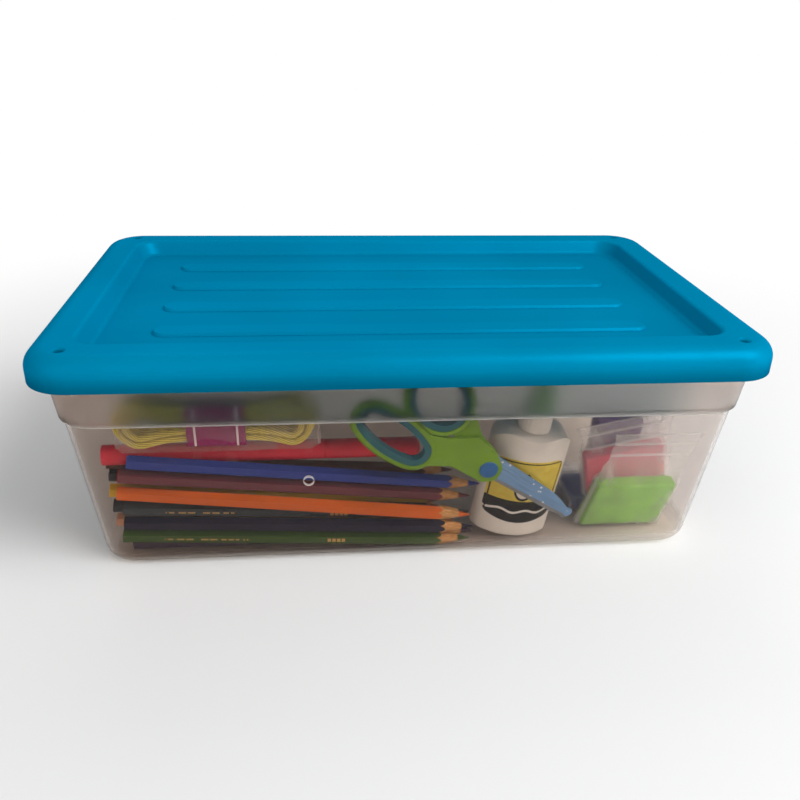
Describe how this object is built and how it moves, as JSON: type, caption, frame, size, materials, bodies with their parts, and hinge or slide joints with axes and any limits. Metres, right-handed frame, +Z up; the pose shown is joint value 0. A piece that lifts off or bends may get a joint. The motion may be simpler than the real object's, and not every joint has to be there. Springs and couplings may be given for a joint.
{
  "type": "art supply box",
  "caption": "Frosted storage tub under a ribbed blue lid, packed with coloured pencils, a marker, child's scissors, a glue bottle, embroidery floss and bagged modelling clay.",
  "frame": {"origin": "middle of the base, on the surface that the box stands on", "axes": "+X along the box, +Y from front to back, +Z up"},
  "size_m": [0.346, 0.212, 0.12],
  "materials": {
    "frosted_tub": "frosted, see-through",
    "lid_blue": "satin moulded",
    "paint_blue": "painted wood, bare at the point",
    "lead_blue": "waxy coloured lead",
    "paint_mauve": "painted wood, bare at the point",
    "lead_mauve": "waxy coloured lead",
    "paint_orange": "painted wood, bare at the point",
    "lead_orange": "waxy coloured lead",
    "paint_grey": "painted wood, bare at the point",
    "lead_grey": "waxy coloured lead",
    "paint_navy": "painted wood, bare at the point",
    "lead_navy": "waxy coloured lead",
    "paint_olive": "painted wood, bare at the point",
    "lead_olive": "waxy coloured lead",
    "paint_purple": "painted wood, bare at the point",
    "lead_purple": "waxy coloured lead",
    "paint_red": "painted wood, bare at the point",
    "lead_red": "waxy coloured lead",
    "paint_yellow": "painted wood, bare at the point",
    "lead_yellow": "waxy coloured lead",
    "paint_charcoal": "painted wood, bare at the point",
    "lead_charcoal": "waxy coloured lead",
    "paint_peach": "painted wood, bare at the point",
    "lead_peach": "waxy coloured lead",
    "paint_black": "painted wood, bare at the point",
    "lead_black": "waxy coloured lead",
    "paint_brown": "painted wood, bare at the point",
    "lead_brown": "waxy coloured lead",
    "paint_green": "painted wood, bare at the point",
    "lead_green": "waxy coloured lead",
    "marker_red": "moulded",
    "felt": "felt tip",
    "blade_blue": "pale blue, speckled",
    "blade_steel": "ground",
    "handle_green": "moulded",
    "grip_grey": "soft lining",
    "rivet_blue": "blue cap",
    "bottle_white": "soft plastic",
    "cap_green": "moulded",
    "label_paper": "printed in plain colours",
    "floss_yellow": "cotton thread",
    "band_paper": "paper band",
    "film": "clear film",
    "clay_green": "soft modelling clay",
    "clay_blue": "soft modelling clay",
    "clay_pink": "soft modelling clay",
    "clay_purple": "soft modelling clay"
  },
  "bodies": {
    "box": {"tub": "frosted_tub", "pencil_casing_blue": "paint_blue", "pencil_lead_blue": "lead_blue", "pencil_casing_mauve": "paint_mauve", "pencil_lead_mauve": "lead_mauve", "pencil_casing_orange": "paint_orange", "pencil_lead_orange": "lead_orange", "pencil_casing_grey": "paint_grey", "pencil_lead_grey": "lead_grey", "pencil_casing_navy": "paint_navy", "pencil_lead_navy": "lead_navy", "pencil_casing_olive": "paint_olive", "pencil_lead_olive": "lead_olive", "pencil_casing_purple": "paint_purple", "pencil_lead_purple": "lead_purple", "pencil_casing_red": "paint_red", "pencil_lead_red": "lead_red", "pencil_casing_yellow": "paint_yellow", "pencil_lead_yellow": "lead_yellow", "pencil_casing_charcoal": "paint_charcoal", "pencil_lead_charcoal": "lead_charcoal", "pencil_casing_peach": "paint_peach", "pencil_lead_peach": "lead_peach", "pencil_casing_black": "paint_black", "pencil_lead_black": "lead_black", "pencil_casing_brown": "paint_brown", "pencil_lead_brown": "lead_brown", "pencil_casing_green": "paint_green", "pencil_lead_green": "lead_green", "marker_barrel": "marker_red", "marker_plug": "marker_red", "marker_nib": "felt", "marker_core": "felt", "scissors_back_blade": "blade_steel", "scissors_back_handle": "handle_green", "scissors_back_grip": "grip_grey", "scissors_rivet": "rivet_blue", "glue_bottle": "bottle_white", "glue_label": "label_paper", "floss_hank": "floss_yellow", "floss_band": "band_paper", "floss_bag": "film", "clay_green": "clay_green", "clay_bag_green": "film", "clay_blue": "clay_blue", "clay_bag_blue": "film", "clay_pink": "clay_pink", "clay_bag_pink": "film", "clay_purple": "clay_purple", "clay_bag_purple": "film"},
    "lid": {"lid": "lid_blue"},
    "scissors_front": {"scissors_front_blade": "blade_blue", "scissors_front_handle": "handle_green", "scissors_front_grip": "grip_grey"},
    "glue_collar": {"glue_collar": "bottle_white"},
    "glue_cap": {"glue_cap": "cap_green"},
    "marker_cap": {"marker_cap": "marker_red"}
  },
  "joints": [
    {"name": "lid_lift", "type": "slide", "parent": "box", "child": "lid", "axis": [0, 0, 1], "range_m": [0, 0.15]},
    {"name": "scissors_pivot", "type": "hinge", "parent": "box", "child": "scissors_front", "pos_m": [0.0389, -0.08699, 0.05197], "axis": [0, -0.9945, -0.1044], "range_deg": [0, 28]},
    {"name": "glue_collar_turn", "type": "hinge", "parent": "box", "child": "glue_collar", "pos_m": [0.06418, -0.07283, 0.06693], "axis": [0.1219, -0.1036, 0.9871], "continuous": true},
    {"name": "glue_cap_pull", "type": "slide", "parent": "glue_collar", "child": "glue_cap", "axis": [0.1219, -0.1036, 0.9871], "range_m": [0, 0.004]},
    {"name": "marker_cap_pull", "type": "slide", "parent": "box", "child": "marker_cap", "axis": [0.9977, 0.061, -0.0305], "range_m": [0, 0.02]}
  ]
}
